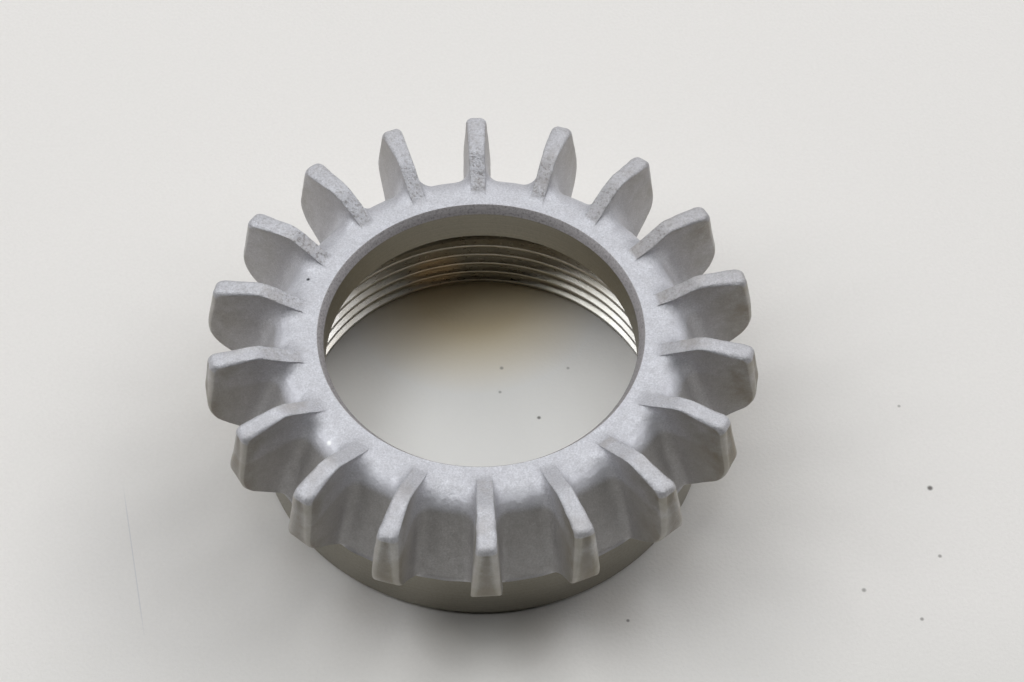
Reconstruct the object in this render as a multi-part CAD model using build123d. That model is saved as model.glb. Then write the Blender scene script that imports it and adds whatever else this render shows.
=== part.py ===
from build123d import *
import math
import os

# Finned exhaust nut: one aluminium casting, turned inside and round its skirt.
# Millimetres. The nut stands on its open, threaded end: Z = 0 is that end face,
# and the Z axis is the axis of the thread and the bore.

# Thread at the open end, and the relief groove above it
THREAD_DIAMETER = 52.0
THREAD_PITCH = 2.0
THREAD_LENGTH = 9.6
THREAD_LEAD_IN = 0.4
RELIEF_DEPTH = 0.3

# Inward lip that the pipe passes through, with its chamfered rim
BORE_DIAMETER = 42.0
LIP_THICKNESS = 5.8
LIP_EDGE_BREAK = 0.3
RIM_CHAMFER_WIDTH = 0.75
RIM_CHAMFER_DEPTH = 1.2

# Skirt turned round the open end
SKIRT_WALL = 4.75
SKIRT_HEIGHT = 10.0
SKIRT_EDGE_BREAK = 0.4

# Cast ring above the skirt: flat top, round shoulder and sloping wall.
# Its foot overhangs the skirt by the width of the ledge.
RING_HEIGHT = 22.0
TOP_WIDTH = 4.75
SHOULDER_RADIUS = 3.0
LEDGE_WIDTH = 0.85

# Fins: the ridge climbs from the top face to a knee, then runs out nearly level.
# The diameter, knee and tip are those of the sharp corners, before rounding.
FIN_COUNT = 18
FIN_DIAMETER = 75.2
FIN_RIM_GAP = 1.8
FIN_KNEE_RADIUS = 29.5
FIN_RISE = 3.15
FIN_RIDGE_FALL = 0.35
FIN_OUTER_LEAN = 1.6
FIN_UNDERSIDE_ANGLE = 43.0
FIN_RIDGE_THICKNESS = 2.0
FIN_DRAFT = 0.06
FIN_FLARE = 0.05

# Rounded corners of the fins, their worn outer edges, and the blend at their roots
KNEE_ROUNDING = 4.0
TIP_ROUNDING = 1.1
HEEL_ROUNDING = 2.2
OUTER_EDGE_WIDTH = 0.9
ROOT_BLEND = 1.0

# Radii and heights that follow from the sizes above
ISO_THREAD_DEPTH = 0.5413
THREAD_MAJOR_RADIUS = THREAD_DIAMETER / 2
THREAD_MINOR_RADIUS = THREAD_MAJOR_RADIUS - ISO_THREAD_DEPTH * THREAD_PITCH
RELIEF_RADIUS = THREAD_MAJOR_RADIUS + RELIEF_DEPTH
BORE_RADIUS = BORE_DIAMETER / 2
RIM_RADIUS = BORE_RADIUS + RIM_CHAMFER_WIDTH
LIP_UNDERSIDE = RING_HEIGHT - LIP_THICKNESS
SKIRT_RADIUS = THREAD_MAJOR_RADIUS + SKIRT_WALL
LEDGE_RADIUS = SKIRT_RADIUS + LEDGE_WIDTH
TOP_RADIUS = RIM_RADIUS + TOP_WIDTH
WALL_LEAN = (LEDGE_RADIUS - TOP_RADIUS) / (RING_HEIGHT - SKIRT_HEIGHT)
ROUGH_FOOT_RADIUS = LEDGE_RADIUS + WALL_LEAN * SKIRT_HEIGHT
FIN_OUTER_RADIUS = FIN_DIAMETER / 2
FIN_TIP_RADIUS = FIN_OUTER_RADIUS - FIN_OUTER_LEAN
FIN_START_RADIUS = RIM_RADIUS + FIN_RIM_GAP
FIN_KNEE_HEIGHT = RING_HEIGHT + FIN_RISE
FIN_TIP_HEIGHT = FIN_KNEE_HEIGHT - FIN_RIDGE_FALL
UNDERSIDE_SLOPE = math.tan(math.radians(FIN_UNDERSIDE_ANGLE))
FIN_HEEL_HEIGHT = SKIRT_HEIGHT + (FIN_OUTER_RADIUS - LEDGE_RADIUS) * UNDERSIDE_SLOPE
FIN_STEP = 360 / FIN_COUNT
FIRST_FIN_ANGLE = -90

# How far the fins run on inside the ring, how far their outline reaches to each
# side of them, and how far the cuts run on past the metal
EMBED = 1.5
FIN_INNER_RADIUS = FIN_START_RADIUS - EMBED
FIN_REACH = 4 * FIN_RIDGE_THICKNESS
CUT_MARGIN = 2.0

# An edge whose middle is nearer than this to a plane lies in that plane
NEAR = 0.01


def corner(face, across, up):
    """The vertex of a flat face nearest the given point of its plane."""
    return face.vertices().sort_by_distance(Vector(across, up, 0))[0]


def upright(face):
    """A face drawn as radius across and height up, stood in the XZ plane."""
    return Plane.XZ * face


def ring_sector():
    """The slice of the rough ring that carries one fin, centred on the X axis."""
    outline = Polyline(
        (BORE_RADIUS, 0),
        (ROUGH_FOOT_RADIUS, 0),
        (TOP_RADIUS, RING_HEIGHT),
        (BORE_RADIUS, RING_HEIGHT),
        (BORE_RADIUS, 0),
    )
    section = make_face(outline)
    section = fillet(corner(section, TOP_RADIUS, RING_HEIGHT), SHOULDER_RADIUS)
    return revolve(Rot(0, 0, -FIN_STEP / 2) * upright(section), Axis.Z, FIN_STEP)


def fin_outline():
    """The space that a fin fills seen from its side, with its inner end sunk in the ring."""
    ridge_slope = FIN_RISE / (FIN_KNEE_RADIUS - FIN_START_RADIUS)
    outline = Polyline(
        (FIN_INNER_RADIUS, RING_HEIGHT - EMBED * ridge_slope),
        (FIN_KNEE_RADIUS, FIN_KNEE_HEIGHT),
        (FIN_TIP_RADIUS, FIN_TIP_HEIGHT),
        (FIN_OUTER_RADIUS, FIN_HEEL_HEIGHT),
        (LEDGE_RADIUS - EMBED, SKIRT_HEIGHT - EMBED * UNDERSIDE_SLOPE),
        (FIN_INNER_RADIUS, RING_HEIGHT - 2 * EMBED),
        (FIN_INNER_RADIUS, RING_HEIGHT - EMBED * ridge_slope),
    )
    profile = make_face(outline)
    profile = fillet(corner(profile, FIN_KNEE_RADIUS, FIN_KNEE_HEIGHT), KNEE_ROUNDING)
    profile = fillet(corner(profile, FIN_TIP_RADIUS, FIN_TIP_HEIGHT), TIP_ROUNDING)
    profile = fillet(corner(profile, FIN_OUTER_RADIUS, FIN_HEEL_HEIGHT), HEEL_ROUNDING)
    return extrude(upright(profile), FIN_REACH, both=True)


def fin_side(side):
    """The plane of one side of a fin, which leans with the draft and opens with the flare."""
    return Plane(
        origin=(FIN_KNEE_RADIUS, side * FIN_RIDGE_THICKNESS / 2, FIN_KNEE_HEIGHT),
        x_dir=(1, side * FIN_FLARE, 0),
        z_dir=(-FIN_FLARE, side, FIN_DRAFT),
    )


def outer_edge(side):
    """The plane that takes off the edge between one side of a fin and its outer face."""
    drop = FIN_KNEE_HEIGHT - FIN_HEEL_HEIGHT
    flare = FIN_FLARE * (FIN_OUTER_RADIUS - FIN_KNEE_RADIUS)
    heel_half = FIN_RIDGE_THICKNESS / 2 + FIN_DRAFT * drop + flare
    edge_point = Vector(FIN_OUTER_RADIUS, side * heel_half, FIN_HEEL_HEIGHT)
    face_normal = Vector(FIN_TIP_HEIGHT - FIN_HEEL_HEIGHT, 0, FIN_OUTER_LEAN).normalized()
    side_normal = fin_side(side).z_dir
    normal = (face_normal + side_normal).normalized()
    return Plane(origin=edge_point - normal * (OUTER_EDGE_WIDTH / 2), z_dir=normal)


def tall_blade():
    """A blade between the sides of a fin, past its outline above, below and outward."""
    reach = max(FIN_OUTER_RADIUS, ROUGH_FOOT_RADIUS) + CUT_MARGIN
    length = reach - FIN_INNER_RADIUS
    height = FIN_KNEE_HEIGHT + CUT_MARGIN
    middle = FIN_INNER_RADIUS + length / 2
    blade = Pos(middle, 0, height / 2) * Box(length, 2 * FIN_REACH, height)
    for side in (1, -1):
        blade = split(blade, fin_side(side), keep=Keep.BOTTOM)
    return blade


def blended_fin(ring):
    """One fin along the X axis, with the blends that carry its two sides into the ring."""
    blade = tall_blade()
    joined = ring + blade
    roots = new_edges(ring, blade, combined=joined).filter_by(is_root)
    fin = chamfer(roots, ROOT_BLEND) & fin_outline()
    for side in (1, -1):
        fin = split(fin, outer_edge(side), keep=Keep.BOTTOM)
    return fin


def is_root(edge):
    """True for an edge where a side of a fin, and not its inner end, meets the ring's outside."""
    middle = edge.center()
    return abs(middle.Y) > NEAR and middle.Z > NEAR


def bore_cutter():
    """What is turned out of the inside: thread bore, relief groove, lip bore and rim chamfer."""
    mouth_radius = THREAD_MINOR_RADIUS + THREAD_LEAD_IN
    chamfer_slope = RIM_CHAMFER_WIDTH / RIM_CHAMFER_DEPTH
    outline = Polyline(
        (0, -CUT_MARGIN),
        (mouth_radius + CUT_MARGIN, -CUT_MARGIN),
        (THREAD_MINOR_RADIUS, THREAD_LEAD_IN),
        (THREAD_MINOR_RADIUS, THREAD_LENGTH),
        (RELIEF_RADIUS, THREAD_LENGTH),
        (RELIEF_RADIUS, LIP_UNDERSIDE),
        (BORE_RADIUS + LIP_EDGE_BREAK, LIP_UNDERSIDE),
        (BORE_RADIUS, LIP_UNDERSIDE + LIP_EDGE_BREAK),
        (BORE_RADIUS, RING_HEIGHT - RIM_CHAMFER_DEPTH),
        (RIM_RADIUS + CUT_MARGIN * chamfer_slope, RING_HEIGHT + CUT_MARGIN),
        (0, RING_HEIGHT + CUT_MARGIN),
        (0, -CUT_MARGIN),
    )
    return revolve(upright(make_face(outline)), Axis.Z)


def skirt_cutter():
    """What is turned off round the open end, down to the skirt with its broken edge."""
    clear_radius = ROUGH_FOOT_RADIUS + CUT_MARGIN
    edge_radius = SKIRT_RADIUS - SKIRT_EDGE_BREAK
    outline = Polyline(
        (edge_radius - CUT_MARGIN, -CUT_MARGIN),
        (clear_radius, -CUT_MARGIN),
        (clear_radius, SKIRT_HEIGHT),
        (SKIRT_RADIUS, SKIRT_HEIGHT),
        (SKIRT_RADIUS, SKIRT_EDGE_BREAK),
        (edge_radius - CUT_MARGIN, -CUT_MARGIN),
    )
    return revolve(upright(make_face(outline)), Axis.Z)


def finned_sector():
    """One turned slice of the nut with its fin."""
    ring = ring_sector()
    return ring + blended_fin(ring) - bore_cutter() - skirt_cutter()


def finned_nut():
    """The whole nut as one solid, a slice for each fin."""
    sector = Rot(0, 0, FIRST_FIN_ANGLE) * finned_sector()
    slices = [Rot(0, 0, FIN_STEP * index) * sector for index in range(FIN_COUNT)]
    return slices[0].fuse(*slices[1:]).clean()


nut = finned_nut()
nut.label = "finned_nut"
os.makedirs("parts", exist_ok=True)
export_step(nut, "parts/finned_nut.step")
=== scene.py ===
"""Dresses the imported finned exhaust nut: cast fins and ring, turned lip and skirt, and the real thread."""
import math

import bmesh
import bpy
import numpy as np
from mathutils import Matrix, Vector


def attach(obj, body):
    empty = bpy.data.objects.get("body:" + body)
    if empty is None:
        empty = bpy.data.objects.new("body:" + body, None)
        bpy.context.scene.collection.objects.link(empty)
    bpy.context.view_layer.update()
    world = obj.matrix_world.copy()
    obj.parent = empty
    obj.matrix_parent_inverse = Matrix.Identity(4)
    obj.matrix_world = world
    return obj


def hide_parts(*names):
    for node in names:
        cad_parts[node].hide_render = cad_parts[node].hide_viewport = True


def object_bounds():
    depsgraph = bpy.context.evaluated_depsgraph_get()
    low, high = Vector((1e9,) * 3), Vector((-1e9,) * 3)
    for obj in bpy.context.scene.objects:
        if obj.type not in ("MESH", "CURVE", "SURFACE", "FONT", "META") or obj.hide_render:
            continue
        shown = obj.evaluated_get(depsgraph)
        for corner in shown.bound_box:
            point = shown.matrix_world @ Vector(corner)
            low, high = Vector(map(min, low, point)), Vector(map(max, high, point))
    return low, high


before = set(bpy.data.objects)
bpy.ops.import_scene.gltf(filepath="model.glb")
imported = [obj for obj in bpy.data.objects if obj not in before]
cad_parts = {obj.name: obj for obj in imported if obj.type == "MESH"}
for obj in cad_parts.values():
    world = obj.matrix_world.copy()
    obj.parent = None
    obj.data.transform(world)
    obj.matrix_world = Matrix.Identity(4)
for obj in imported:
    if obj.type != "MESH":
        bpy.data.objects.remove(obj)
cad_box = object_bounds()

NODE = "finned_nut"
MM = 0.001

# Sizes of the nut in millimetres, as radius and height about the axis of the thread
FIN_COUNT = 18
FIN_STEP = 2 * math.pi / FIN_COUNT
FIRST_GAP = -math.pi / 2 - FIN_STEP / 2
RING_HEIGHT = 22.0
SKIRT_HEIGHT = 10.0
LEDGE_RADIUS = 31.6
TOP_RADIUS = 26.93
SHOULDER_RADIUS = 4.0
SKIRT_RADIUS = 30.75
SKIRT_EDGE = 0.7
BORE_RADIUS = 21.0
RIM_RADIUS = 21.75
RIM_DEPTH = 1.2
RIM_EDGE = 0.06
RIM_TOP_RADIUS = RIM_RADIUS + RIM_EDGE
LIP_UNDERSIDE = 16.1
LIP_EDGE = 0.06
RELIEF_RADIUS = 26.3

# Outline of a fin from the rim end of its ridge round to its foot, with the rounding of each corner
RIDGE_START = (23.2, RING_HEIGHT)
KNEE = (29.5, 25.12)
TIP = (35.9, 24.75)
HEEL = (37.5, 15.6)
FOOT = (LEDGE_RADIUS, SKIRT_HEIGHT)
KNEE_ROUNDING = 4.0
TIP_ROUNDING = 1.1
HEEL_ROUNDING = 4.6

# Radius of the hollow corner between the top face and the start of a ridge, and the
# shares of the ring's own outline that lie under the corners of a fin's outline
START_BLEND = 3.0
BASE_SHARES = (0.0, 0.245, 0.32, 0.83, 1.0)

# Cross-section of a fin. It has its full shape where it stands this deep on the ring.
RIDGE_THICKNESS = 2.16
DRAFT = 0.05
FLARE = 0.05
START_FLARE = 0.08
FULL_DEPTH = 2.2

# Width and roundness of the edges beside the ridge and outer face, and width of the blend at the
# root. Each has a value where every rounded corner of the outline begins and ends, and at the foot.
EDGE_WIDTHS = (0.3, 0.3, 0.32, 0.38, 0.95, 0.8, 0.52, 0.3, 0.2)
EDGE_ROUNDNESS = (1.0, 1.0, 1.0, 1.0, 1.0, 0.85, 0.6, 0.8, 1.0)
ROOT_BLENDS = (2.5, 2.5, 2.2, 2.2, 1.9, 1.8, 1.45, 1.4, 1.3)

# The most of a fin's half thickness that an edge may take, and the most of
# the depth of its side that the blend below and the edge above may take
MOST_EDGE = 0.72
BLEND_SHARE = 0.58
EDGE_SHARE = 0.40

# A fin's outer face keeps this share of its rounded heel. It is darker by this factor at its top, a
# painted shadow under the ridge's end, down to this many millimetres below, and fades to its edges,
# which take a painted reflection, over the points of its crown.
HEEL_SHARE = 0.55
FACE_TOP_SHADE = 1.7
FACE_TOP_LENGTH = 2.0
FACE_FADE = (0.1, 0.75, 1.0)

# How clearly a ridge shows, where its first two rounded corners begin and end
RIDGE_CLEARNESS = (0.3, 1.0, 1.0, 0.5)

# The shoulder of the ring takes painted light from one radius out to the other and from one height up
# to the other. The last rows of points at the ring's foot take a painted highlight too.
SHINE_RADII = (25.5, 26.3)
SHINE_HEIGHTS = (19.9, 20.8)
FOOT_ROWS = 2
FOOT_SHINE = 0.5

# Thin lip at the foot of the ring, where it meets the turned ledge: its
# width, and the share of the ring's outline that it takes
FOOT_BEAD = 0.13
FOOT_BEAD_SHARE = 0.035

# Internal thread. Its turns run from above its top end to below its mouth, where they end flat.
PITCH = 2.0
MINOR_RADIUS = 24.92
THREAD_TOP = 9.6
THREAD_LEAD_IN = 0.4
THREAD_TURNS = range(-2, 8)
CREST_AT_BACK = 8.9
PROFILE_OFFSETS = (0.0, 0.20, 0.30, 0.875, 1.0)
PROFILE_RADII = (24.92, 24.92, 24.97, 26.0, 26.0)

# Cells of the mesh: between the marks of a fin's outline, across half a
# slice from gap to crown, and round the turned surfaces
CELLS_ALONG = (3, 9, 4, 11, 6, 12, 6, 9)
GAP_CELLS = 8
BLEND_CELLS = 6
SIDE_CELLS = 13
EDGE_CELLS = 4
CROWN_CELLS = 3
TURNED_COLUMNS = 360
ARC_POINTS = 25
ROOT_ROUNDS = 4

# Unevenness of the casting, each kind with its height and wavelength in millimetres and its seed.
# A kind is a sum of plane waves whose lengths spread round its wavelength.
SKIN_WAVES = ((0.010, 2.2, 3), (0.007, 0.7, 4))
RIDGE_WAVES = (0.03, 1.7, 8)
LEDGE_WAVES = (0.045, 4.0, 11)
FIN_SWAY = (0.09, 13.0, 21)
WAVE_COUNT = 28
WAVE_SPREAD = (0.6, 1.6)

# Amounts too small to matter, and the distance in metres at which vertices merge
TINY = 1e-9
SHALLOW = 1e-6
SLACK = 0.01
BOX_MARGIN = 0.001
MERGE_DISTANCE = 1e-7

# Faces that meet at more than this many degrees have a sharp edge between them
SHARP_ANGLE = 28

# Values that the mesh holds for each vertex: how uneven its casting is, how far it stands out from
# the ring, if it lies on a fin's outer face, 1, or its edges, -1, which take a painted reflection, if it
# lies on a ridge, and how much painted light it takes on the shoulder and foot
VALUES = ("cast", "standing", "outer", "ridge", "painted_shine")

# Finishes, in the order of the piece's material slots
CAST, SKIRT, BORE, RIM, THREAD = range(5)


def run_lengths(points):
    """The length of the line from its first point to each of its points."""
    return np.concatenate([[0], np.cumsum(np.linalg.norm(np.diff(points, axis=0), axis=1))])


def at_lengths(points, lengths, where):
    """Points of a line at the given lengths along it."""
    return np.stack([np.interp(where, lengths, column) for column in points.T], -1)


def corner_arc(before, here, after, radius):
    """Points on the arc that rounds a line's corner at here."""
    back = (before - here) / np.linalg.norm(before - here)
    ahead = (after - here) / np.linalg.norm(after - here)
    turn = math.pi - math.acos(float(np.clip(back @ ahead, -1, 1)))
    reach = radius * math.tan(turn / 2)
    middle = (back + ahead) / np.linalg.norm(back + ahead)
    centre = here + middle * radius / math.cos(turn / 2)
    start = here + back * reach - centre
    side = here - start - centre
    side = side - start * (side @ start) / (start @ start)
    side = side / np.linalg.norm(side) * radius
    steps = np.linspace(0, turn, ARC_POINTS)
    return [centre + start * math.cos(step) + side * math.sin(step) for step in steps]


def rounded_path(corners, radii):
    """A line with rounded corners: its points, the lengths along it, and the lengths at which each
    rounded corner begins and ends."""
    corners = [np.array(corner, float) for corner in corners]
    points = [corners[0]]
    arcs = []
    for before, here, after, radius in zip(corners, corners[1:], corners[2:], radii):
        arcs.append(len(points))
        points += corner_arc(before, here, after, radius)
        arcs.append(len(points) - 1)
    points = np.array(points + [corners[-1]])
    lengths = run_lengths(points)
    return points, lengths, [lengths[index] for index in arcs]


def half_thickness(radius, height):
    """Half the thickness of a fin at a radius and height."""
    start = START_FLARE * np.clip((KNEE[0] - radius) / (KNEE[0] - RIDGE_START[0]), 0, 1)
    return RIDGE_THICKNESS / 2 + DRAFT * (KNEE[1] - height) + FLARE * (radius - KNEE[0]) + start


def conic(start, corner, end, steps, roundness=1.0):
    """A blend from start to end that turns at the corner, as steps + 1 points for each row. It is
    round where roundness is 1 and a flat cut where it is 0."""
    back = start - corner
    ahead = end - corner
    size = np.linalg.norm(back, axis=-1) * np.linalg.norm(ahead, axis=-1)
    cosine = np.clip((back * ahead).sum(-1) / np.maximum(size, TINY), -1, 1)
    weight = (roundness * np.sqrt((1 - cosine) / 2))[:, None, None]
    t = np.linspace(0, 1, steps + 1)[None, :, None]
    a, b, c = (1 - t) ** 2, 2 * weight * t * (1 - t), t ** 2
    return (a * start[:, None] + b * corner[:, None] + c * end[:, None]) / (a + b + c)


def straight(start, end, steps):
    """Straight lines from start to end, as steps + 1 points for each row."""
    t = np.linspace(0, 1, steps + 1)[None, :, None]
    return start[:, None] * (1 - t) + end[:, None] * t


def evened(points, share):
    """A row of points moved along its own line towards even spacing, all the way where share is 0."""
    lengths = run_lengths(points)
    even = np.linspace(0, lengths[-1], len(points))
    return at_lengths(points, lengths, share * lengths + (1 - share) * even)


def waves(points, wavelength, seed):
    """Seeded noise of about unit size: a sum of plane waves near one wavelength."""
    dice = np.random.default_rng(seed)
    ways = dice.normal(size=(WAVE_COUNT, 3))
    ways /= np.linalg.norm(ways, axis=1)[:, None]
    ways *= 2 * math.pi / (wavelength * dice.uniform(*WAVE_SPREAD, (WAVE_COUNT, 1)))
    starts = dice.uniform(0, 2 * math.pi, WAVE_COUNT)
    return math.sqrt(2 / WAVE_COUNT) * np.cos(points @ ways.T + starts).sum(-1)


def fin_outline():
    """A fin's outline at each station, and the lengths along it of the stations and of the marks
    where its rounded corners begin and end."""
    lead = (RIDGE_START[0] - START_BLEND, RING_HEIGHT)
    corners = [lead, RIDGE_START, KNEE, TIP, HEEL, FOOT]
    radii = [START_BLEND, KNEE_ROUNDING, TIP_ROUNDING, HEEL_ROUNDING]
    points, lengths, arcs = rounded_path(corners, radii)
    marks = arcs + [lengths[-1]]
    where = [marks[0]]
    for begin, end, cells in zip(marks, marks[1:], CELLS_ALONG):
        where += list(np.linspace(begin, end, cells + 1)[1:])
    where = np.array(where)
    return at_lengths(points, lengths, where), where, marks


def ring_outline(start_radius, shares):
    """Points on the outside of the ring at the given shares of the way from the top face to its foot."""
    corners = [(start_radius, RING_HEIGHT), (TOP_RADIUS, RING_HEIGHT), FOOT]
    points, lengths, _ = rounded_path(corners, [SHOULDER_RADIUS])
    bead = FOOT_BEAD * np.clip((shares - 1 + FOOT_BEAD_SHARE) / FOOT_BEAD_SHARE, 0, 1) ** 2
    return at_lengths(points, lengths, shares * lengths[-1]) + np.outer(bead, (1, 0))


def root_line(base):
    """Where the side of a fin meets the ring, at each point of the ring's own outline."""
    radius, height = base.T
    half = half_thickness(radius, height)
    for _ in range(ROOT_ROUNDS):
        across = np.sqrt(radius ** 2 - half ** 2)
        half = half_thickness(across, height)
    return np.stack([across, half, height], -1)


def gap_points(base, root, blend):
    """Points round the ring from the middle of a gap to where the blend at a fin's root begins."""
    radius, height = base.T
    end = np.arctan2(root[:, 1], root[:, 0]) + blend / radius
    turn = np.linspace(0, 1, GAP_CELLS + 1)[None]
    angle = (FIN_STEP / 2) * (1 - turn) + end[:, None] * turn
    height = np.repeat(height[:, None], angle.shape[1], axis=1)
    return np.stack([radius[:, None] * np.cos(angle), radius[:, None] * np.sin(angle), height], -1)


def side_points(gap_end, root, crest, blend, edge, roundness):
    """Points from the end of a gap up the blend, side, edge and crown of a fin to its middle."""
    depth = np.linalg.norm(crest - root, axis=1)
    toward = (crest - root) / np.maximum(depth, SHALLOW)[:, None]
    edge = np.minimum(np.minimum(edge, MOST_EDGE * crest[:, 1]), EDGE_SHARE * depth)
    low = root + toward * np.minimum(blend, BLEND_SHARE * depth)[:, None]
    high = crest - toward * edge[:, None]
    crown = crest - np.outer(edge, (0, 1, 0))
    rise = np.concatenate([
        conic(gap_end, root, low, BLEND_CELLS),
        straight(low, high, SIDE_CELLS)[:, 1:],
        conic(high, crest, crown, EDGE_CELLS, roundness)[:, 1:],
        straight(crown, crest * (1, 0, 1), CROWN_CELLS)[:, 1:],
    ], axis=1)
    shape = np.clip(depth / FULL_DEPTH, 0, 1)
    return np.stack([evened(row, share) for row, share in zip(rise, shape)]), toward


def face_values(shape, where, marks):
    """The outer and ridge values of a fin's half sections."""
    crown = slice(-CROWN_CELLS, None)
    edge = slice(-CROWN_CELLS - EDGE_CELLS, -CROWN_CELLS)
    both = slice(-CROWN_CELLS - EDGE_CELLS, None)
    ridge_begin, face_begin, heel_begin, heel_end = marks[1], marks[5], marks[6], marks[7]
    face_end = heel_begin + HEEL_SHARE * (heel_end - heel_begin)
    outer = np.zeros(shape)
    face = (where > face_begin - SLACK) & (where < face_end)
    # Darker at the top of the face, a painted shadow under the ridge's end; edges and heel at -1 take a
    # painted reflection
    top = (face_begin, face_begin + FACE_TOP_LENGTH)
    outer[face, crown] = np.outer(np.interp(where[face], top, (FACE_TOP_SHADE, 1)), FACE_FADE)
    outer[face, edge] = -1
    outer[(where >= face_end) & (where < heel_end + SLACK), both] = -1
    ridge = np.zeros(shape)
    ridge[(where > ridge_begin) & (where < face_begin), both] = 1
    ridge *= np.interp(where, marks[:4], RIDGE_CLEARNESS)[:, None]
    return outer, ridge


def painted_shine_values(base, standing):
    """The painted shine values of a fin's half sections: painted light on the ring's shoulder and a painted
    highlight on its foot between the fins.
    """
    radius, height = base.T
    painted_shine = np.interp(radius, SHINE_RADII, (0, 1)) * np.interp(height, SHINE_HEIGHTS, (0, 1))
    painted_shine = painted_shine[:, None] * np.clip(1 - standing, 0, 1)
    # Painted highlight along the ring's foot
    painted_shine[-FOOT_ROWS:] = FOOT_SHINE
    return painted_shine


def fin_halves():
    """Half sections of a fin at each station, from the middle of a gap to the middle of the fin, and
    the values of their points by name."""
    outline, where, marks = fin_outline()
    middles = [(begin + end) / 2 for begin, end in zip(marks[2::2], marks[3::2])]
    shares = np.interp(where, [marks[0]] + middles + [marks[-1]], BASE_SHARES)
    base = ring_outline(outline[0, 0], shares)
    root = root_line(base)
    crest = np.stack([outline[:, 0], half_thickness(*outline.T), outline[:, 1]], -1)
    blend, edge, roundness = (
        np.interp(where, marks, sizes) for sizes in (ROOT_BLENDS, EDGE_WIDTHS, EDGE_ROUNDNESS)
    )
    gap = gap_points(base, root, blend)
    side, toward = side_points(gap[:, -1], root, crest, blend, edge, roundness)
    halves = np.concatenate([gap, side[:, 1:]], axis=1)
    offset = halves - root[:, None]
    out = offset[:, :, 0] * toward[:, None, 0] + offset[:, :, 2] * toward[:, None, 2]
    standing = np.maximum(out, 0)
    outer, ridge = face_values(standing.shape, where, marks)
    values = {"standing": standing, "outer": outer, "ridge": ridge, "painted_shine": painted_shine_values(base, standing)}
    return halves, values


def mirrored(rows):
    """Half a fin's values in each row, from gap to ridge, and on from the ridge to the next gap."""
    return np.concatenate([rows, rows[:, -2:0:-1]], axis=1)


def around(halves):
    """The half sections of one fin, mirrored and repeated round the axis, as closed loops."""
    one = np.concatenate([halves * (1, -1, 1), halves[:, -2:0:-1]], axis=1)
    slices = []
    for index in range(FIN_COUNT):
        angle = FIRST_GAP + (index + 0.5) * FIN_STEP
        c, s = math.cos(angle), math.sin(angle)
        slices.append(one @ np.array([[c, s, 0], [-s, c, 0], [0, 0, 1]]))
    return np.concatenate(slices, axis=1)


def turned_loop(radius, height, angles):
    """Points round the axis at a radius and height."""
    return np.stack([radius * np.cos(angles), radius * np.sin(angles), height + 0 * angles], -1)


def seam_angles(points):
    """The angle of each point of a loop past the seam, from 0 to a full turn."""
    angles = np.arctan2(points[:, 1], points[:, 0]) - FIRST_GAP
    return np.mod(angles + TINY, 2 * math.pi)


class Skin:
    """Collects the vertices and faces of the nut, the values of each vertex and the finish of each
    face."""

    def __init__(self):
        self.points = []
        self.values = {name: [] for name in VALUES}
        self.count = 0
        self.faces = []
        self.finishes = []

    def loop(self, points, **values):
        """Adds a row of vertices with their values, which are 0 where none is given. Returns their
        numbers."""
        start = self.count
        self.points.append(points)
        for name in VALUES:
            self.values[name].append(values.get(name, 0.0) + np.zeros(len(points)))
        self.count += len(points)
        return np.arange(start, self.count)

    def add(self, faces, finish):
        """Adds faces with one finish."""
        self.faces += faces
        self.finishes += [finish] * len(faces)

    def strip(self, first, second, finish):
        """Quads between two closed loops of the same number of points."""
        corners = [first, np.roll(first, -1), np.roll(second, -1), second]
        self.add(np.stack(corners, -1).tolist(), finish)

    def zipper(self, first, second, finish):
        """Triangles between two closed loops with different numbers of points, matched by angle."""
        points = np.concatenate(self.points)
        first_ends = np.append(seam_angles(points[first])[1:], 2 * math.pi)
        second_ends = np.append(seam_angles(points[second])[1:], 2 * math.pi)
        triangles = []
        i = j = 0
        while i < len(first) or j < len(second):
            here, there = first[i % len(first)], second[j % len(second)]
            if j == len(second) or (i < len(first) and first_ends[i] <= second_ends[j]):
                triangles.append([int(here), int(first[(i + 1) % len(first)]), int(there)])
                i += 1
            else:
                triangles.append([int(here), int(second[(j + 1) % len(second)]), int(there)])
                j += 1
        self.add(triangles, finish)


def add_fins(skin):
    """The ring's outside with all its fins. Returns the loops at its inner end and its foot, and the
    points of the first."""
    halves, values = fin_halves()
    stations = around(halves)
    values = {name: np.tile(mirrored(rows), (1, FIN_COUNT)) for name, rows in values.items()}
    foot = stations[-1]
    size, wavelength, seed = LEDGE_WAVES
    ragged = size * waves(foot, wavelength, seed)
    foot[:, :2] *= (1 + ragged / np.hypot(foot[:, 0], foot[:, 1]))[:, None]
    loops = []
    for row, points in enumerate(stations):
        inside = 0 < row < len(stations) - 1
        here = {name: rows[row] for name, rows in values.items()}
        loops.append(skin.loop(points, cast=float(inside), **here))
    for first, second in zip(loops, loops[1:]):
        skin.strip(first, second, CAST)
    return loops[0], loops[-1], stations[0]


def add_top(skin, inner, inner_points):
    """The top face outside a loop midway between the rim and the fins' inner end. Returns the loop."""
    between = (RIM_TOP_RADIUS + np.hypot(inner_points[:, 0], inner_points[:, 1])) / 2
    angles = np.arctan2(inner_points[:, 1], inner_points[:, 0])
    top = skin.loop(turned_loop(between, RING_HEIGHT, angles))
    skin.strip(top, inner, CAST)
    return top


def add_turned(skin, outline, angles, *finishes):
    """Closed loops along an outline of radius and height, with a finish for each step or one for
    them all. Returns the loops."""
    loops = [skin.loop(turned_loop(radius, height, angles)) for radius, height in outline]
    steps = finishes if len(finishes) > 1 else finishes * (len(loops) - 1)
    for first, second, finish in zip(loops, loops[1:], steps):
        skin.strip(first, second, finish)
    return loops


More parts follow.
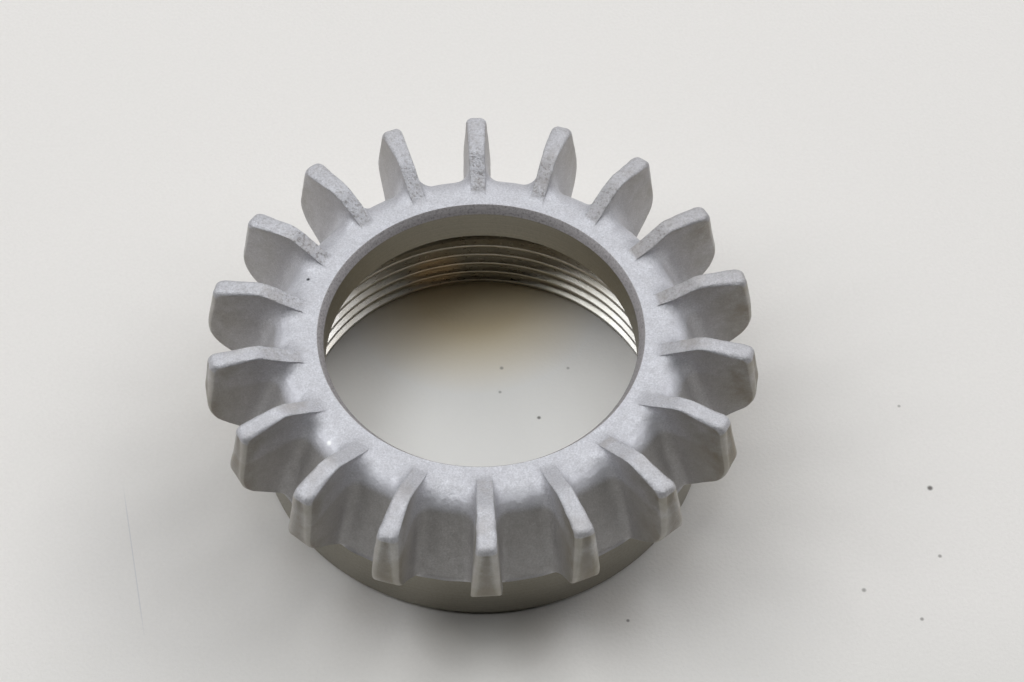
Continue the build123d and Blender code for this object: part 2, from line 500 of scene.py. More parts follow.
def add_skirt(skin, foot, angles):
    """The ledge under the ring's foot and the skirt down to its end face. Returns the last loop."""
    outline = [(SKIRT_RADIUS, SKIRT_HEIGHT), (SKIRT_RADIUS, SKIRT_EDGE), (SKIRT_RADIUS - SKIRT_EDGE, 0)]
    loops = add_turned(skin, outline, angles, SKIRT)
    skin.zipper(foot, loops[0], SKIRT)
    return loops[-1]


def thread_climb(angles):
    """How far the thread has climbed at each angle, from the back of the bore."""
    return PITCH * (angles - math.pi / 2) / (2 * math.pi)


def thread_radius(height, angles):
    """Radius of the thread's surface at a height and angle."""
    crest = CREST_AT_BACK + thread_climb(angles)
    offset = np.mod(height - crest + PITCH / 2, PITCH) - PITCH / 2
    radius = np.interp(np.abs(offset), PROFILE_OFFSETS, PROFILE_RADII)
    return np.maximum(radius, MINOR_RADIUS + THREAD_LEAD_IN - height)


def thread_rows(angles):
    """The thread as rows that climb a pitch each turn, from above its top end to below its mouth,
    and the number of rows to a pitch."""
    bends = PROFILE_OFFSETS[1:-1]
    offsets = bends[::-1] + tuple(-bend for bend in bends)
    rows = []
    for turn in THREAD_TURNS:
        for offset in offsets:
            height = CREST_AT_BACK - PITCH * turn + thread_climb(angles) + offset
            height = np.clip(height, 0, THREAD_TOP)
            rows.append(turned_loop(thread_radius(height, angles), height, angles))
    return rows, len(offsets)


def add_thread(skin, angles):
    """The thread, whose rows meet their neighbours a pitch away at the seam. Returns its end loops."""
    rows, rows_per_pitch = thread_rows(angles)
    loops = [skin.loop(row) for row in rows]
    for upper in range(len(loops) - 1):
        high, low = loops[upper], loops[upper + 1]
        ahead_high = np.append(high[1:], loops[max(upper - rows_per_pitch, 0)][0])
        ahead_low = np.append(low[1:], loops[max(upper + 1 - rows_per_pitch, 0)][0])
        skin.add(np.stack([high, ahead_high, ahead_low, low], -1).tolist(), THREAD)
    return loops[0], loops[-1]


def add_lip(skin, thread_top, top, angles):
    """The relief groove above the thread, and the lip with its bore and rim up to the top face."""
    groove = [
        (RELIEF_RADIUS, THREAD_TOP),
        (RELIEF_RADIUS, LIP_UNDERSIDE - LIP_EDGE),
        (RELIEF_RADIUS - LIP_EDGE, LIP_UNDERSIDE),
        (BORE_RADIUS + LIP_EDGE, LIP_UNDERSIDE),
    ]
    groove_loops = add_turned(skin, groove, angles, THREAD)
    skin.strip(thread_top, groove_loops[0], THREAD)
    lip = [
        (BORE_RADIUS, LIP_UNDERSIDE + LIP_EDGE),
        (BORE_RADIUS, RING_HEIGHT - RIM_DEPTH),
        (RIM_RADIUS - RIM_EDGE / 2, RING_HEIGHT - RIM_EDGE),
        (RIM_TOP_RADIUS, RING_HEIGHT),
    ]
    lip_loops = add_turned(skin, lip, angles, BORE, RIM, RIM)
    skin.strip(groove_loops[-1], lip_loops[0], BORE)
    skin.zipper(lip_loops[-1], top, CAST)


def nut_skin():
    """The whole closed surface of the nut in millimetres."""
    skin = Skin()
    angles = FIRST_GAP + np.linspace(0, 2 * math.pi, TURNED_COLUMNS, endpoint=False)
    inner, foot, inner_points = add_fins(skin)
    top = add_top(skin, inner, inner_points)
    skirt_end = add_skirt(skin, foot, angles)
    thread_top, thread_mouth = add_thread(skin, angles)
    skin.strip(skirt_end, thread_mouth, SKIRT)
    add_lip(skin, thread_top, top, angles)
    return skin


def closed_mesh(skin):
    """A mesh of the skin in metres, with its doubled vertices merged and all faces turned outward."""
    mesh = bpy.data.meshes.new(NODE + "_skin")
    mesh.from_pydata((np.concatenate(skin.points) * MM).tolist(), [], skin.faces)
    mesh.polygons.foreach_set("material_index", skin.finishes)
    for name, values in skin.values.items():
        layer = mesh.attributes.new(name, "FLOAT", "POINT")
        layer.data.foreach_set("value", np.concatenate(values))
    shell = bmesh.new()
    shell.from_mesh(mesh)
    bmesh.ops.remove_doubles(shell, verts=shell.verts, dist=MERGE_DISTANCE)
    bmesh.ops.recalc_face_normals(shell, faces=shell.faces)
    shell.to_mesh(mesh)
    shell.free()
    return mesh


def read(source, name, width=1):
    """A per-vertex value of a mesh as an array."""
    values = np.empty(len(source) * width)
    source.foreach_get(name, values)
    return values.reshape(-1, width) if width > 1 else values


def roughen(mesh):
    """Gives the cast surfaces their uneven skin, and each fin its own slight lean and height."""
    points = read(mesh.vertices, "co", 3) / MM
    normals = read(mesh.vertex_normals, "vector", 3)
    cast, standing, ridge = (
        read(mesh.attributes[name].data, "value") for name in ("cast", "standing", "ridge")
    )
    height = sum(size * waves(points, wavelength, seed) for size, wavelength, seed in SKIN_WAVES)
    size, wavelength, seed = RIDGE_WAVES
    height += size * waves(points, wavelength, seed) * ridge
    size, wavelength, seed = FIN_SWAY
    sway = np.stack([waves(points, wavelength, seed + axis) for axis in range(3)], -1)
    share = np.clip(standing / FULL_DEPTH, 0, 1) * cast
    points += normals * (height * cast)[:, None] + size * sway * share[:, None]
    low, high = (np.array(corner) / MM for corner in cad_box)
    points = np.clip(points, low + BOX_MARGIN, high - BOX_MARGIN)
    mesh.vertices.foreach_set("co", (points * MM).ravel())
    mesh.update()


class Shader:
    """A node material under construction. Inputs are given as values or as other nodes' outputs."""

    def __init__(self, name):
        self.material = bpy.data.materials.new(name)
        self.material.use_nodes = True
        self.tree = self.material.node_tree
        self.surface = self.tree.nodes["Principled BSDF"]
        self.place = self.node("ShaderNodeTexCoord", output="Object")

    def node(self, kind, inputs=(), output=0, **settings):
        """An output of a new node with the given inputs and settings."""
        made = self.tree.nodes.new(kind)
        for name, value in settings.items():
            setattr(made, name, value)
        for socket, value in dict(inputs).items():
            self.put(made.inputs[socket], value)
        return made.outputs[output]

    def put(self, socket, value):
        """Gives a socket a value, or links it to another node's output."""
        if isinstance(value, bpy.types.NodeSocket):
            self.tree.links.new(value, socket)
        else:
            socket.default_value = value

    def axis(self, index):
        """One coordinate of the place."""
        return self.node("ShaderNodeSeparateXYZ", {0: self.place}, output=index)

    def value(self, name):
        """A value that the mesh holds for each vertex."""
        return self.node("ShaderNodeAttribute", output="Fac", attribute_name=name)

    def reckon(self, operation, first, second=0.0):
        """The result of a sum on one or two numbers."""
        return self.node("ShaderNodeMath", {0: first, 1: second}, operation=operation)

    def product(self, first, *others):
        """All the numbers multiplied."""
        for other in others:
            first = self.reckon("MULTIPLY", first, other)
        return first

    def vector(self, operation, first, second, output=0):
        """The result of a sum on two vectors."""
        return self.node("ShaderNodeVectorMath", {0: first, 1: second}, output, operation=operation)

    def span(self, value, low, high, low_out=0.0, high_out=1.0):
        """A number that goes from one result to the other as the value goes from low to high."""
        inputs = {"Value": value, "From Min": low, "From Max": high, "To Min": low_out, "To Max": high_out}
        return self.node("ShaderNodeMapRange", inputs)

    def reach(self, length, low, high, low_out=0.0, high_out=1.0):
        """A span whose low and high are in millimetres."""
        return self.span(length, low * MM, high * MM, low_out, high_out)

    def near(self, centre, radius, most=1.0, core=0.4):
        """The most in the core of a round spot, whose sizes are in millimetres, falling to 0 at its
        edge."""
        centre = tuple(size * MM for size in centre)
        distance = self.vector("DISTANCE", self.place, centre, output="Value")
        return self.reach(distance, core * radius, radius, most, 0.0)

    def stroke(self, first, last, half_width, most):
        """The most along a thin straight line between two points of the table top, 0 elsewhere."""
        first, last = (Vector((*end, 0)) * MM for end in (first, last))
        way = (last - first).normalized()
        length = (last - first).length
        offset = self.vector("SUBTRACT", self.place, tuple(first))
        forward = self.vector("DOT_PRODUCT", offset, tuple(way), output="Value")
        aside = self.vector("DOT_PRODUCT", offset, (-way.y, way.x, 0), output="Value")
        begin = self.span(forward, 0, STROKE_TAPER * length)
        end = self.span(forward, (1 - STROKE_TAPER) * length, length, 1, 0)
        across = self.reach(self.reckon("ABSOLUTE", aside), 0, half_width, most, 0)
        return self.product(begin, end, across)

    def noise(self, size, vector=None, detail=3.0, roughness=0.6):
        """Noise whose features are about the given size in millimetres."""
        inputs = {"Vector": self.place if vector is None else vector, "Scale": 1 / (size * MM),
                  "Detail": detail, "Roughness": roughness}
        return self.node("ShaderNodeTexNoise", inputs)

    def rings(self, travel, scale, detail):
        """Noise along one number, with about scale features to a metre."""
        inputs = {"W": travel, "Scale": scale, "Detail": detail}
        return self.node("ShaderNodeTexNoise", inputs, noise_dimensions="1D")

    def blend(self, share, first, second):
        """The first colour, mixed with a share of the second."""
        mixer = self.tree.nodes.new("ShaderNodeMix")
        mixer.data_type = "RGBA"
        self.put(mixer.inputs[0], share)
        for socket, color in ((mixer.inputs[6], first), (mixer.inputs[7], second)):
            self.put(socket, (*color, 1) if isinstance(color, tuple) else color)
        return mixer.outputs[2]

    def bump(self, height, depth, under=None):
        """A normal tilted by a height, whose depth is in millimetres, over the bump under it."""
        inputs = {"Height": height, "Distance": depth * MM}
        if under is not None:
            inputs["Normal"] = under
        return self.node("ShaderNodeBump", inputs)

    def finish(self, **inputs):
        """The material, with the given inputs of its surface."""
        for name, value in inputs.items():
            self.put(self.surface.inputs[name.replace("_", " ")], value)
        return self.material


# The looks of the finishes. Each span has two values of what drives it and the two results that
# they bring, which are 0 and 1 where only the values are given. Noise is driven from 0 to 1, places
# and sizes are in millimetres, and colours are plain red, green and blue. X grows to the right and
# Y to the far side.

# Cast metal: the sizes of its grain, patches, clouds and specks
CAST_GRAIN = 0.24
GRAIN_ROUGHNESS = 0.7
CAST_PATCHES = 1.1
CAST_CLOUDS = 5.0
CAST_SPECKS = 0.42

# Its bare metal, lighter and darker with the grain, and its patches
METAL_DARK = (0.50, 0.50, 0.53)
METAL_LIGHT = (0.74, 0.74, 0.775)
METAL_PATCH = (0.60, 0.59, 0.605)
GRAIN_SPAN = (0.3, 0.7)
PATCH_SPAN = (0.35, 0.7, 0.0, 0.35)

# Painted shade on the wall between the fins, by height, and more of it on the near side
WALL_SHADE = (0.37, 0.335, 0.28)
WALL_SHADE_TOP = (20.5, 19.7, 0.0, 0.40)
WALL_SHADE_DOWN = (18.0, 13.0, 0.40, 0.34)
WALL_SHADE_NEARER = (10.0, -16.0, 0.1, 1.0)

# Painted light on the shoulder and a painted highlight along the foot, more of it on the near side
PAINTED_SHINE_COLOR = (0.92, 0.92, 0.97)
SHINE_NEARER = (22.0, -16.0, 0.0, 0.55)

# A painted warm reflection of the table on the fins' sides, and painted shade higher up on them, in clouds,
# less of it on the far and left sides
SIDE_REFLECTION = (0.36, 0.325, 0.27)
SIDE_REFLECTION_UP = (0.8, 2.4, 0.0, 0.18)
HIGH_SHADE = (0.30, 0.265, 0.20)
HIGH_SHADE_UP = (2.0, 7.0)
HIGH_SHADE_CLOUDS = (0.35, 0.6, 0.2, 0.72)
HIGH_SHADE_FARTHER = (0.0, 30.0, 1.0, 0.5)
HIGH_SHADE_RIGHT = (-30.0, 30.0, 0.8, 1.15)

# Ridges: bare metal, without the painted shading, with dark specks on the far side, a thin film in
# clouds, and duller metal at the right of the far side
RIDGE_BARE = (0.0, 0.5, 0.0, 0.9)
RIDGE_SPECK = (0.27, 0.25, 0.24)
SPECK_SPAN = (0.50, 0.66, 0.0, 0.7)
SPECKS_FARTHER = (-12.0, 12.0, 0.12, 1.0)
RIDGE_FILM = (0.46, 0.42, 0.39)
RIDGE_FILM_CLOUDS = (0.5, 0.68, 0.0, 0.4)
RIDGE_DULL = (0.36, 0.335, 0.32)
RIDGE_DULL_RIGHT = (0.0, 28.0, 0.0, 0.5)
RIDGE_DULL_FARTHER = (-12.0, 8.0)

# Outer faces of the fins, dark in the middle with a painted shadow at their top, and a painted reflection
# along their edges
FACE_DARK = (0.27, 0.25, 0.22)
FACE_DARK_SPAN = (0.0, 1.7, 0.0, 0.76)
FACE_LIGHT = (0.86, 0.84, 0.80)
FACE_LIGHT_SPAN = (0.0, -1.0, 0.0, 0.24)

# A dark pore in the casting and a painted glint on a nick: place and radius, share and colour
CAST_MARKS = (
    ((-23.24, 9.15, 22.0), 0.34, 1.0, (0.04, 0.04, 0.05)),
    # Painted glint
    ((-19.81, -17.27, 21.43), 0.42, 1.0, (1.0, 1.0, 1.0)),
)

# Its gloss, and the depths of its bumps
CAST_METALLIC = 0.85
CAST_ROUGHNESS = (0.3, 0.7, 0.57, 0.71)
PATCH_BUMP = 0.06
GRAIN_BUMP = 0.05
RIDGE_BUMP = 0.08


def painted_shading(make, clouds, bare):
    """The bare metal with painted shade on the wall, painted light on the shoulder and foot, and a painted
    warm reflection and painted shade on the fins' sides.
    """
    across, far, height = (make.axis(index) for index in range(3))
    standing = make.value("standing")
    # Painted shade on the wall under the shoulder, most on the near side
    film_and_shade = make.reckon("MINIMUM", make.reach(height, *WALL_SHADE_TOP), make.reach(height, *WALL_SHADE_DOWN))
    film_and_shade = make.product(film_and_shade, make.reach(far, *WALL_SHADE_NEARER))
    color = make.blend(film_and_shade, bare, WALL_SHADE)
    # Painted light on the shoulder and painted highlight along the foot
    painted_shine = make.product(make.value("painted_shine"), make.reach(far, *SHINE_NEARER))
    color = make.blend(painted_shine, color, PAINTED_SHINE_COLOR)
    # Painted warm reflection of the table on the fins' sides
    color = make.blend(make.span(standing, *SIDE_REFLECTION_UP), color, SIDE_REFLECTION)
    # Painted shade high on the fins' sides, in clouds
    high_shade = make.product(
        make.span(standing, *HIGH_SHADE_UP),
        make.span(clouds, *HIGH_SHADE_CLOUDS),
        make.reach(far, *HIGH_SHADE_FARTHER),
        make.reach(across, *HIGH_SHADE_RIGHT),
    )
    return make.blend(high_shade, color, HIGH_SHADE)


def ridged(make, clouds, ridge, bare, color):
    """The colour with the fins' ridges back to bare metal without the painted shading, then specked, filmed
    and dulled in places.
    """
    across, far = make.axis(0), make.axis(1)
    color = make.blend(make.span(ridge, *RIDGE_BARE), color, bare)
    specks = make.span(make.noise(CAST_SPECKS), *SPECK_SPAN)
    specks = make.product(ridge, specks, make.reach(far, *SPECKS_FARTHER))
    color = make.blend(specks, color, RIDGE_SPECK)
    film_and_shade = make.product(ridge, make.span(clouds, *RIDGE_FILM_CLOUDS))
    color = make.blend(film_and_shade, color, RIDGE_FILM)
    dull = make.product(make.reach(across, *RIDGE_DULL_RIGHT), make.reach(far, *RIDGE_DULL_FARTHER), ridge)
    return make.blend(dull, color, RIDGE_DULL)


def cast_metal():
    """Matte as-cast aluminium: a fine bright grain with faint patches and clouds. It has warm painted shade
    in the gaps and high on the fins' sides, a painted warm reflection on the sides, painted light on the
    shoulder, is darkest in the middle of the fins' outer faces with a painted shadow at their top, and has
    a painted reflection along their edges. The grain stands out most on the ridges."""
    make = Shader("cast_skin")
    grain = make.noise(CAST_GRAIN, roughness=GRAIN_ROUGHNESS)
    patches = make.noise(CAST_PATCHES)
    clouds = make.noise(CAST_CLOUDS)
    ridge = make.value("ridge")
    outer = make.value("outer")
    bare = make.blend(make.span(grain, *GRAIN_SPAN), METAL_DARK, METAL_LIGHT)
    bare = make.blend(make.span(patches, *PATCH_SPAN), bare, METAL_PATCH)
    color = painted_shading(make, clouds, bare)
    color = ridged(make, clouds, ridge, bare, color)
    # Darker in the middle of the outer faces with a painted shadow at their top, and a painted reflection
    # along their edges
    color = make.blend(make.span(outer, *FACE_DARK_SPAN), color, FACE_DARK)
    color = make.blend(make.span(outer, *FACE_LIGHT_SPAN), color, FACE_LIGHT)
    for centre, radius, share, tint in CAST_MARKS:
        color = make.blend(make.near(centre, radius, share), color, tint)
    relief = make.bump(patches, PATCH_BUMP)
    relief = make.bump(grain, GRAIN_BUMP, under=relief)
    relief = make.bump(make.product(grain, ridge), RIDGE_BUMP, under=relief)
    roughness = make.span(patches, *CAST_ROUGHNESS)
    return make.finish(Base_Color=color, Metallic=CAST_METALLIC, Normal=relief, Roughness=roughness)


# Turned metal: its fine tool rings and broader ones, by how many there are to a metre, its
# speckles and clouds, how much darker or lighter than its tint each makes it, and its bumps
RINGS_SCALE = 5200.0
RINGS_DETAIL = 2.0
RINGS_SPAN = (0.3, 0.7)
RINGS_SHADES = (0.92, 1.1)
BROAD_SCALE = 900.0
BROAD_DETAIL = 1.0
SPECKLE_SIZE = 0.3
SPECKLE_DETAIL = 4.0
SPECKLE_SPAN = (0.45, 0.7)
TURNED_CLOUDS = 6.0
CLOUDS_SPAN = (0.4, 0.7, 0.0, 0.4)
CLOUDS_SHADE = 0.95
# A painted shadow at the top of the skirt, under the ledge: how high it reaches, its share and how dark it
# makes the tint
LEDGE_SHADOW_HEIGHT = 0.5
LEDGE_SHADOW_SHARE = 0.7
LEDGE_SHADOW_SHADE = 0.4
RINGS_BUMP = 0.008
BROAD_BUMP = 0.012
SPECKLE_BUMP = 0.008
ROUGHNESS_SPAN = (0.3, 0.7)
ROUGHNESS_SPREAD = 0.05

# The turned finishes by name, in the order of their slots: tint, gloss, share and shade of the
# speckles, and the height in millimetres above which a painted shadow under the ledge darkens it
TURNED = {
    "turned_skirt": {
        "tint": (0.34, 0.32, 0.27), "metallic": 0.92, "roughness": 0.42,
        "speckles": 0.3, "speckle_shade": 0.7, "ledge_shadow_from": 9.35,
    },
    "turned_bore": {
        "tint": (0.27, 0.25, 0.205), "metallic": 0.92, "roughness": 0.40,
        "speckles": 0.3, "speckle_shade": 0.7, "ledge_shadow_from": None,
    },
    "turned_rim": {
        "tint": (0.47, 0.445, 0.45), "metallic": 0.5, "roughness": 0.60,
        "speckles": 0.8, "speckle_shade": 0.45, "ledge_shadow_from": None,
    },
}


def shade(color, factor):
    """A colour made lighter or darker."""
    return tuple(factor * part for part in color)


def turned_metal(name, tint, metallic, roughness, speckles, speckle_shade, ledge_shadow_from):
    """Turned aluminium with tool rings that follow the cut, speckles and faint clouds, and a painted shadow
    under the ledge where a height for it is given.
    """
    make = Shader(name)
    squares = [make.reckon("POWER", make.axis(index), 2.0) for index in (0, 1)]
    radius = make.reckon("POWER", make.reckon("ADD", *squares), 0.5)
    travel = make.reckon("ADD", radius, make.axis(2))
    rings = make.rings(travel, RINGS_SCALE, RINGS_DETAIL)
    broad = make.rings(travel, BROAD_SCALE, BROAD_DETAIL)
    speckle = make.noise(SPECKLE_SIZE, detail=SPECKLE_DETAIL)
    clouds = make.noise(TURNED_CLOUDS)
    dark, light = (shade(tint, factor) for factor in RINGS_SHADES)
    color = make.blend(make.span(rings, *RINGS_SPAN), dark, light)
    color = make.blend(make.span(speckle, *SPECKLE_SPAN, 0.0, speckles), color, shade(tint, speckle_shade))
    color = make.blend(make.span(clouds, *CLOUDS_SPAN), color, shade(tint, CLOUDS_SHADE))
    # Painted shadow under the ledge
    if ledge_shadow_from is not None:
        ledge_shadow = make.reach(make.axis(2), ledge_shadow_from, ledge_shadow_from + LEDGE_SHADOW_HEIGHT, 0.0, LEDGE_SHADOW_SHARE)
        color = make.blend(ledge_shadow, color, shade(tint, LEDGE_SHADOW_SHADE))
    relief = make.bump(rings, RINGS_BUMP)
    relief = make.bump(broad, BROAD_BUMP, under=relief)
    relief = make.bump(speckle, SPECKLE_BUMP, under=relief)
    spread = (roughness - ROUGHNESS_SPREAD, roughness + ROUGHNESS_SPREAD)
    return make.finish(Base_Color=color, Metallic=metallic, Normal=relief,
                       Roughness=make.span(speckle, *ROUGHNESS_SPAN, *spread))


# Thread and relief groove: bright flanks and a brown film in clouds, with cutting
# lines that are this many times finer up the thread than along it
THREAD_CLEAN = (0.62, 0.60, 0.565)
THREAD_FILM = (0.44, 0.40, 0.33)
THREAD_FILM_SIZE = 5.0
THREAD_FILM_SPAN = (0.45, 0.7, 0.0, 0.7)
LINES_SIZE = 0.9
LINES_STRETCH = (1, 1, 9)
LINES_BUMP = 0.002

# A stain on the far side of the thread, which ends at the groove, with one brown patch in it
THREAD_STAIN = (0.25, 0.22, 0.16)
STAIN_FARTHER = (16.0, 23.0, 0.0, 0.6)
STAIN_TOP = (9.5, 10.5, 1.0, 0.0)
PATCH_BROWN = (0.76, 0.58, 0.38)
PATCH_PLACE = (-6.5, 24.4, 4.0)
PATCH_RADIUS = 5
PATCH_SHARE = 0.5

# Duller metal on the right side of the thread, and the gloss of it all
THREAD_DULL = (0.43, 0.42, 0.39)
DULL_RIGHT = (14.0, 22.0)
DULL_CLOUDS = (0.3, 0.6, 0.45, 0.95)
THREAD_METALLIC = 0.97
THREAD_ROUGHNESS = (0.35, 0.65, 0.27, 0.31)


def thread_metal():
    """Cut thread and relief groove: bright flanks with fine cutting lines along them, a thin brown
    film in places, and a darker stain on the far side with one brown patch."""
    make = Shader("thread_skin")
    film_and_shade = make.noise(THREAD_FILM_SIZE)
    lines = make.noise(LINES_SIZE, vector=make.vector("MULTIPLY", make.place, LINES_STRETCH))
    color = make.blend(make.span(film_and_shade, *THREAD_FILM_SPAN), THREAD_CLEAN, THREAD_FILM)
    stain = make.product(make.reach(make.axis(1), *STAIN_FARTHER), make.reach(make.axis(2), *STAIN_TOP))
    color = make.blend(stain, color, THREAD_STAIN)
    dull = make.product(make.reach(make.axis(0), *DULL_RIGHT), make.span(film_and_shade, *DULL_CLOUDS))
    color = make.blend(dull, color, THREAD_DULL)
    color = make.blend(make.near(PATCH_PLACE, PATCH_RADIUS, PATCH_SHARE), color, PATCH_BROWN)
    return make.finish(Base_Color=color, Metallic=THREAD_METALLIC, Normal=make.bump(lines, LINES_BUMP),
                       Roughness=make.span(lines, *THREAD_ROUGHNESS))


def make_nut():
    """The dressed nut, which takes the place of the plain one."""
    mesh = closed_mesh(nut_skin())
    roughen(mesh)
    mesh.shade_smooth()
    mesh.set_sharp_from_angle(angle=math.radians(SHARP_ANGLE))
    turned = [turned_metal(name, **looks) for name, looks in TURNED.items()]
    for material in (cast_metal(), *turned, thread_metal()):
        mesh.materials.append(material)
    nut = bpy.data.objects.new(NODE + "_dressed", mesh)
    bpy.context.scene.collection.objects.link(nut)
    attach(nut, "root")
    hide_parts(NODE)


# The table top: its size and how far it lies under the nut, in metres
FLOOR_SIZE = 3.0
FLOOR_DROP = 0.00002

# Its pale grain, with painted light inside the nut and painted shade greyer towards the front
TABLE_DARK = (0.80, 0.773, 0.742)
TABLE_LIGHT = (0.83, 0.803, 0.772)
TABLE_GRAIN = 0.5
TABLE_GRAIN_SPAN = (0.3, 0.7)
TABLE_BUMP = 0.02
TABLE_ROUGHNESS = 0.7
BORE_LIGHT = (0.95, 0.935, 0.91)
BORE_LIGHT_RADIUS = 34
FRONT_SHADE = (0.65, 0.65, 0.61)
FRONT_SHADE_SPAN = (-30.0, -80.0, 0.0, 0.9)

# A painted warm reflection at the back of the bore: place, radius and share, and the radius
# of the ring's inside that holds it, with the share of that radius that it fills
WARM_REFLECTION = (0.93, 0.78, 0.52)
WARM_REFLECTION_SPOT = ((-1, 24, 0), 19, 0.9)
WARM_REFLECTION_HOLDER = 29
WARM_REFLECTION_CORE = 0.9

# Painted shadows on the table, a dark one under the front of the skirt and broad grey ones round the nut:
# place, radius and share, and colour
TABLE_SHADOWS = (
    (((0, -30, 0), 11, 0.5), (0.35, 0.34, 0.31)),
    (((-38, -24, 0), 28, 0.22), (0.41, 0.405, 0.40)),
    (((36, -2, 0), 22, 0.10), (0.41, 0.405, 0.40)),
    (((31, -31, 0), 20, 0.16), (0.41, 0.405, 0.40)),
)

# Specks on the table: place, radius and darkness
SPECK_COLOR = (0.10, 0.09, 0.08)
TABLE_SPECKS = (
    ((18.69, -32.04, 0), 0.3, 0.7),
    ((2.92, 9.63, 0), 0.35, 0.5),
    ((2.59, 5.42, 0), 0.3, 0.5),
    ((7.99, 0.86, 0), 0.35, 0.8),
    ((12.44, 9.4, 0), 0.3, 0.4),
    ((61.56, -12.24, 0), 0.5, 0.9),
    ((50.49, -28.17, 0), 0.4, 0.6),
    ((61.39, -23.15, 0), 0.35, 0.6),
    ((59.08, 1.63, 0), 0.3, 0.5),
    ((57.64, -32.76, 0), 0.35, 0.6),
)

# A thin scratch on the table: its ends, half its width and its darkness. It
# fades in and out over this share of its length.
SCRATCH_COLOR = (0.30, 0.33, 0.42)
TABLE_SCRATCH = ((-49.8, -8.9), (-45.0, -33.3), 0.11, 0.35)
STROKE_TAPER = 0.2


def table_material():
    """A matte pale table top with painted light in the bore, a painted warm reflection, painted shade
    towards the front, painted shadows, a few specks and a scratch.
    """
    make = Shader("pale_table")
    grain = make.span(make.noise(TABLE_GRAIN), *TABLE_GRAIN_SPAN)
    color = make.blend(grain, TABLE_DARK, TABLE_LIGHT)
    # Painted light inside the nut
    color = make.blend(make.near((0, 0, 0), BORE_LIGHT_RADIUS), color, BORE_LIGHT)
    # Painted shade towards the front
    color = make.blend(make.reach(make.axis(1), *FRONT_SHADE_SPAN), color, FRONT_SHADE)
    # Painted warm reflection at the back of the bore
    warm_reflection = make.product(make.near(*WARM_REFLECTION_SPOT), make.near((0, 0, 0), WARM_REFLECTION_HOLDER, core=WARM_REFLECTION_CORE))
    color = make.blend(warm_reflection, color, WARM_REFLECTION)
    # Painted shadows on the table
    for spot, tint in TABLE_SHADOWS:
        color = make.blend(make.near(*spot), color, tint)
    for spot in TABLE_SPECKS:
        color = make.blend(make.near(*spot), color, SPECK_COLOR)
    color = make.blend(make.stroke(*TABLE_SCRATCH), color, SCRATCH_COLOR)
    return make.finish(Base_Color=color, Roughness=TABLE_ROUGHNESS, Normal=make.bump(grain, TABLE_BUMP))


def make_floor():
    """The table top, just under the nut."""
    mesh = bpy.data.meshes.new("table_top")
    half = FLOOR_SIZE / 2
    corners = [(x, y, -FLOOR_DROP) for x, y in ((-half, -half), (half, -half), (half, half), (-half, half))]
    mesh.from_pydata(corners, [], [(0, 1, 2, 3)])
    mesh.materials.append(table_material())
    floor = bpy.data.objects.new("table_top", mesh)
    bpy.context.scene.collection.objects.link(floor)


# Soft round lamps on a dome, in metres and degrees: the power of each lamp in watts, by elevation
# and azimuth, and a colour for each elevation. The room gives no light of its own.
DOME_RADIUS = 1.2
LAMP_SIZE = 0.55
DOME = {
    90: {0: 1.0},
    65: {0: 0.35, 45: 1.55, 90: 0.3, 135: 1.95, 180: 2.4},
    40: {0: 1.85, 30: 2.55, 60: 1.0, 90: 0.55, 120: 0.3, 150: 1.15, 180: 2.9},
    14: {60: 0.55, 90: 0.8, 120: 0.4},
}
LAMP_COLORS = {90: (1.0, 0.97, 0.91), 65: (0.95, 0.98, 1.0), 40: (0.97, 0.98, 1.0), 14: (1.0, 0.985, 0.98)}
ROOM_LIGHT = (0.0, 0.0, 0.0, 1)


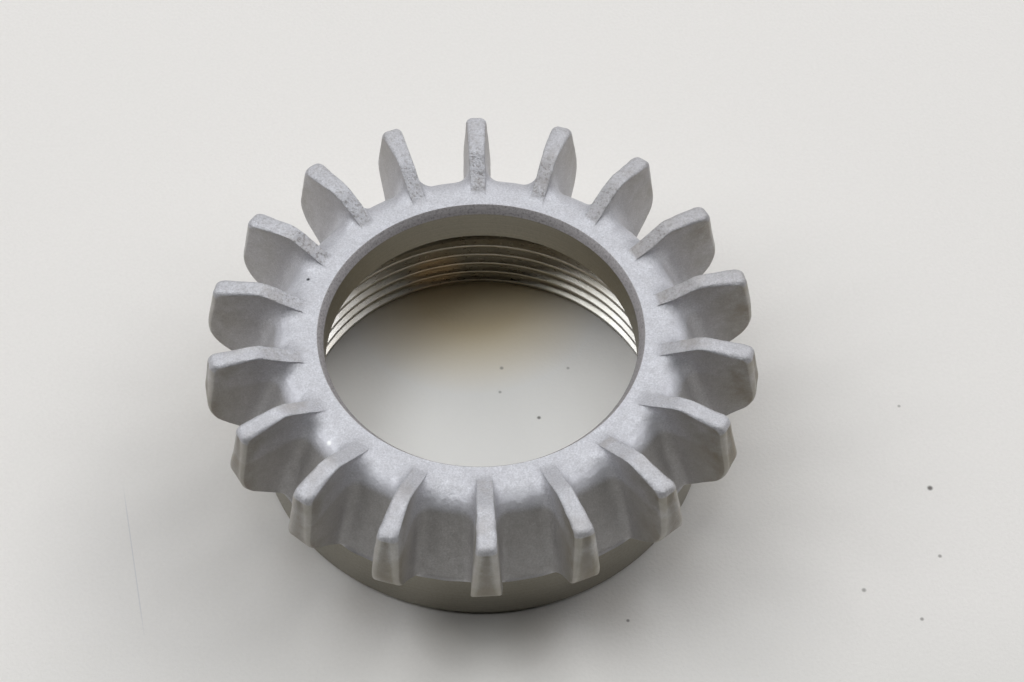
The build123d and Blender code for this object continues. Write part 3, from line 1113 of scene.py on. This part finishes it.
def make_lamp(elevation, azimuth, watts):
    """One lamp of the dome, turned to its middle and hidden from the camera."""
    lamp = bpy.data.lights.new(f"lamp_{elevation}_{azimuth}", "AREA")
    lamp.shape = "DISK"
    lamp.size = LAMP_SIZE
    lamp.energy = watts
    lamp.color = LAMP_COLORS[elevation]
    rise, turn = math.radians(elevation), math.radians(azimuth)
    level = math.cos(rise)
    away = Vector((level * math.cos(turn), level * math.sin(turn), math.sin(rise)))
    holder = bpy.data.objects.new(lamp.name, lamp)
    facing = away.to_track_quat("Z", "Y").to_matrix().to_4x4()
    holder.matrix_world = Matrix.Translation(away * DOME_RADIUS) @ facing
    holder.visible_camera = False
    bpy.context.scene.collection.objects.link(holder)


def make_lamps():
    """All the lamps of the dome."""
    for elevation, ring in DOME.items():
        for azimuth, watts in ring.items():
            make_lamp(elevation, azimuth, watts)


def make_room():
    """The room round the table."""
    world = bpy.data.worlds.new("room")
    world.use_nodes = True
    world.node_tree.nodes["Background"].inputs["Color"].default_value = ROOM_LIGHT
    bpy.context.scene.world = world


# The camera: angles in degrees, lengths in millimetres, and the nearest that it sees in metres
CAMERA_LENS = 77.66
CAMERA_SENSOR = 36.0
CAMERA_AZIMUTH = -1.665
CAMERA_ELEVATION = 53.325
CAMERA_ROLL = 0.241
CAMERA_DISTANCE = 306.25
CAMERA_TARGET = (4.296, 6.328, 10.875)
CAMERA_NEAREST = 0.01


def make_camera():
    """The camera, above the front of the nut and turned to its target."""
    azimuth, elevation = math.radians(CAMERA_AZIMUTH), math.radians(CAMERA_ELEVATION)
    level = math.cos(elevation)
    back = Vector((math.sin(azimuth) * level, -math.cos(azimuth) * level, math.sin(elevation)))
    right = Vector((math.cos(azimuth), math.sin(azimuth), 0))
    up = back.cross(right)
    roll = math.radians(CAMERA_ROLL)
    axes = (
        right * math.cos(roll) + up * math.sin(roll),
        up * math.cos(roll) - right * math.sin(roll),
        back,
    )
    eye = (Vector(CAMERA_TARGET) + back * CAMERA_DISTANCE) * MM
    camera = bpy.data.cameras.new("camera")
    camera.lens = CAMERA_LENS
    camera.sensor_width = CAMERA_SENSOR
    camera.clip_start = CAMERA_NEAREST
    holder = bpy.data.objects.new("camera", camera)
    holder.matrix_world = Matrix.Translation(eye) @ Matrix(axes).transposed().to_4x4()
    bpy.context.scene.collection.objects.link(holder)
    bpy.context.scene.camera = holder


make_nut()
make_floor()
make_lamps()
make_room()
make_camera()
bpy.context.scene.view_settings.view_transform = "Standard"
